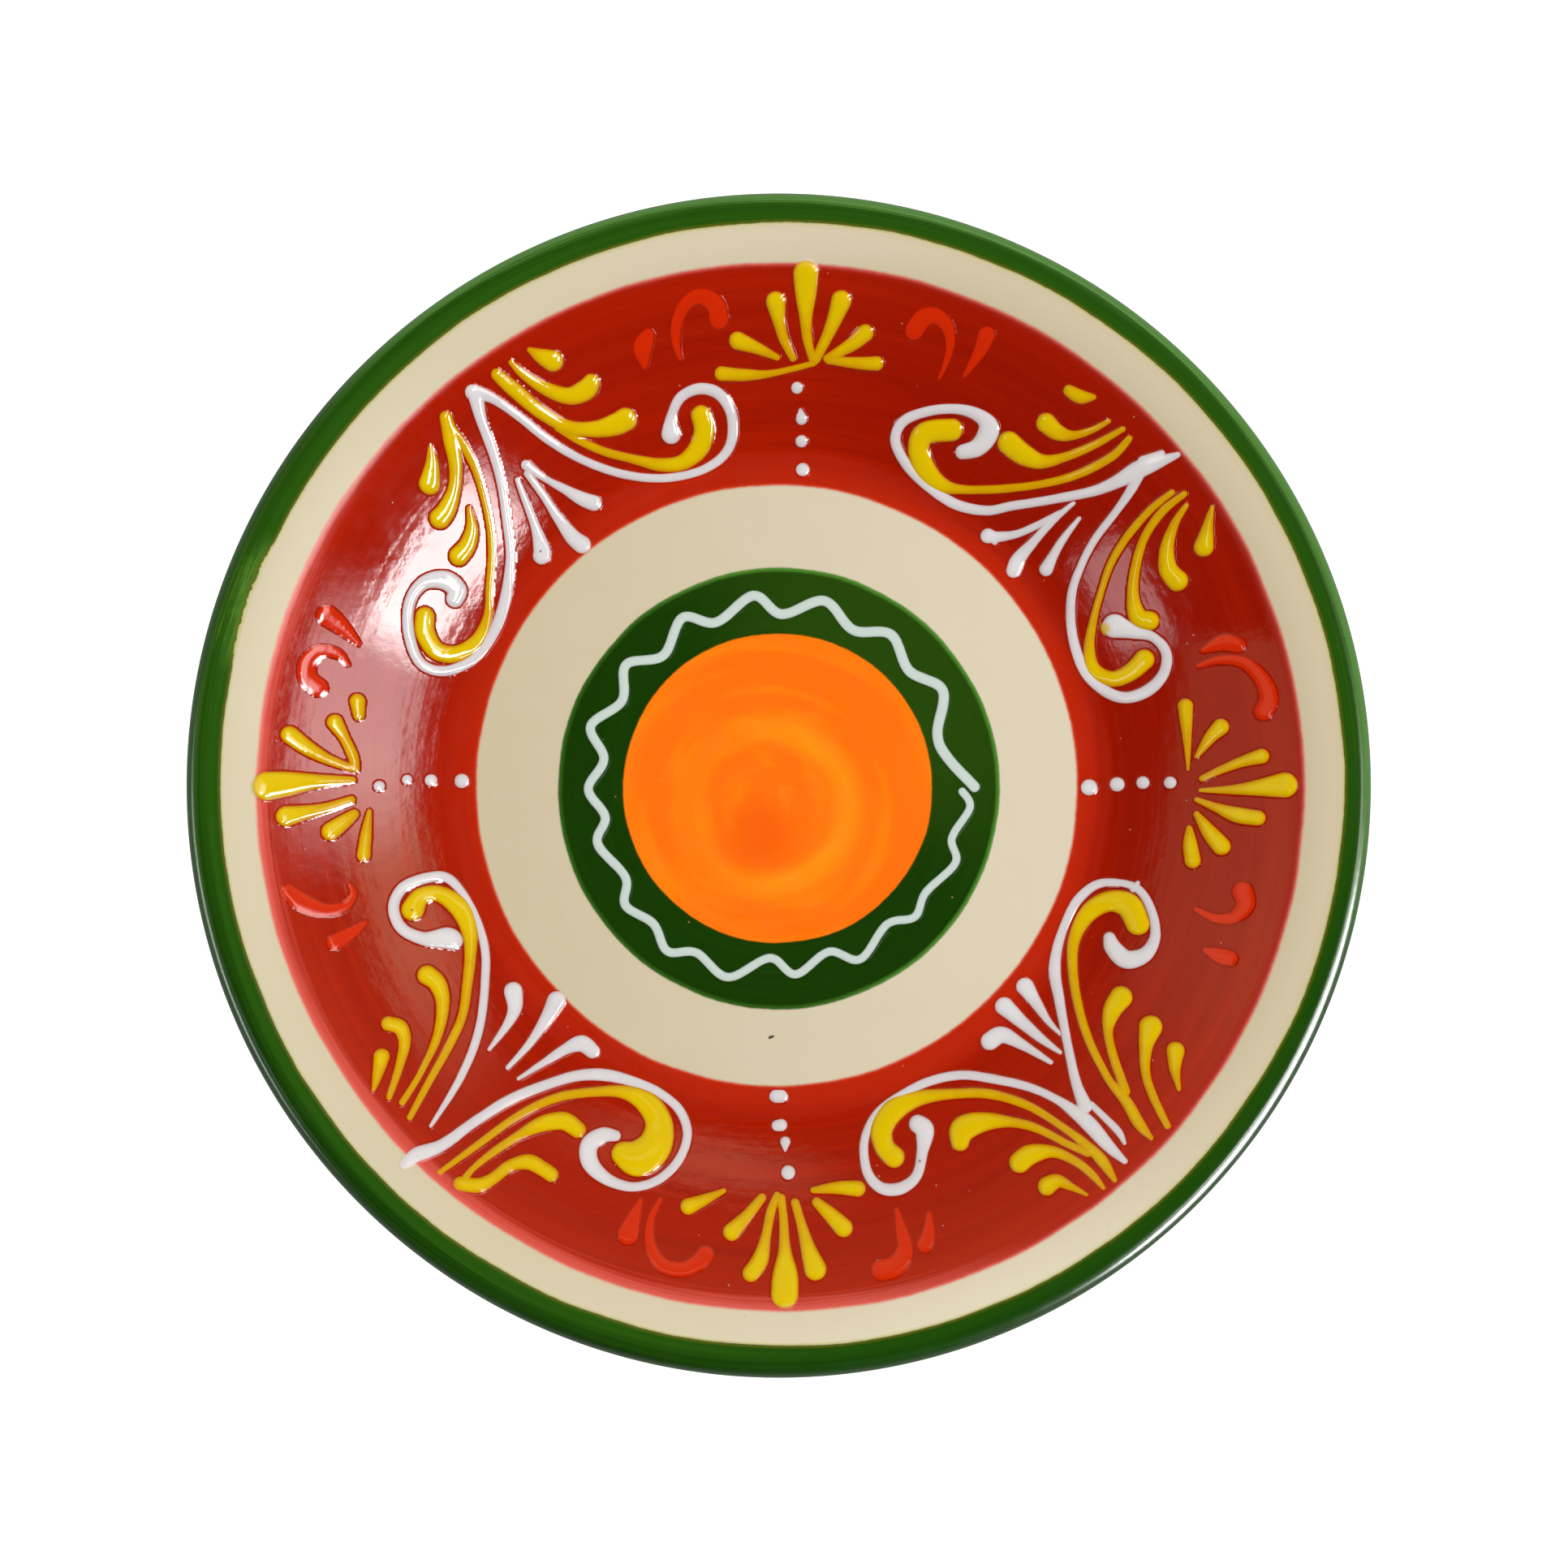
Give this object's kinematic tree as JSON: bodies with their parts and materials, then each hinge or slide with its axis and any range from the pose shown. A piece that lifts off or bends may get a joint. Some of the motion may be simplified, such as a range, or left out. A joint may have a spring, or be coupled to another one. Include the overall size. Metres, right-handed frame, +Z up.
{
  "type": "decorative ceramic plate",
  "caption": "Round shallow ceramic plate on a foot ring, with concentric glaze bands, a scalloped wavy line and raised trailed scrolls, leaves, sprays and dots.",
  "frame": {"origin": "on the plate's axis, in the plane that the foot ring stands on", "axes": "+Z up along the plate's axis; +Y towards the north spray, +X towards the open ends of the wavy line and the east spray"},
  "size_m": [0.2, 0.2, 0.03],
  "materials": {
    "bare_clay": "unglazed foot ring, fine matt biscuit",
    "cream_glaze": "glossy cream glaze with fine iron specks",
    "rim_green_glaze": "glossy brushed green",
    "dark_green_glaze": "glossy dark green",
    "red_glaze": "glossy deep red",
    "orange_glaze": "glossy brushed orange",
    "white_slip": "glossy raised white slip",
    "yellow_slip": "glossy raised yellow slip",
    "orange_red_slip": "glossy raised orange-red slip"
  },
  "bodies": {
    "root": {"back_glaze": "cream_glaze", "clay_body": "bare_clay", "dark_green_ring": "dark_green_glaze", "east_dots": "white_slip", "east_lower_commas": "orange_red_slip", "east_spray": "yellow_slip", "east_upper_commas": "orange_red_slip", "foot_well_glaze": "cream_glaze", "green_rim": "rim_green_glaze", "inner_cream_ring": "cream_glaze", "north_dots": "white_slip", "north_left_commas": "orange_red_slip", "north_right_commas": "orange_red_slip", "north_spray": "yellow_slip", "northeast_fan": "white_slip", "northeast_leaves_east": "yellow_slip", "northeast_leaves_north": "yellow_slip", "northeast_scrolls": "white_slip", "northwest_fan": "white_slip", "northwest_leaves_north": "yellow_slip", "northwest_leaves_west": "yellow_slip", "northwest_scrolls": "white_slip", "orange_centre": "orange_glaze", "outer_cream_ring": "cream_glaze", "red_band": "red_glaze", "south_dots": "white_slip", "south_left_commas": "orange_red_slip", "south_right_commas": "orange_red_slip", "south_spray": "yellow_slip", "southeast_fan": "white_slip", "southeast_leaves_east": "yellow_slip", "southeast_leaves_south": "yellow_slip", "southeast_scrolls": "white_slip", "southwest_fan": "white_slip", "southwest_leaves_south": "yellow_slip", "southwest_leaves_west": "yellow_slip", "southwest_scrolls": "white_slip", "wavy_line": "white_slip", "west_dots": "white_slip", "west_lower_commas": "orange_red_slip", "west_spray": "yellow_slip", "west_upper_commas": "orange_red_slip"}
  },
  "joints": []
}
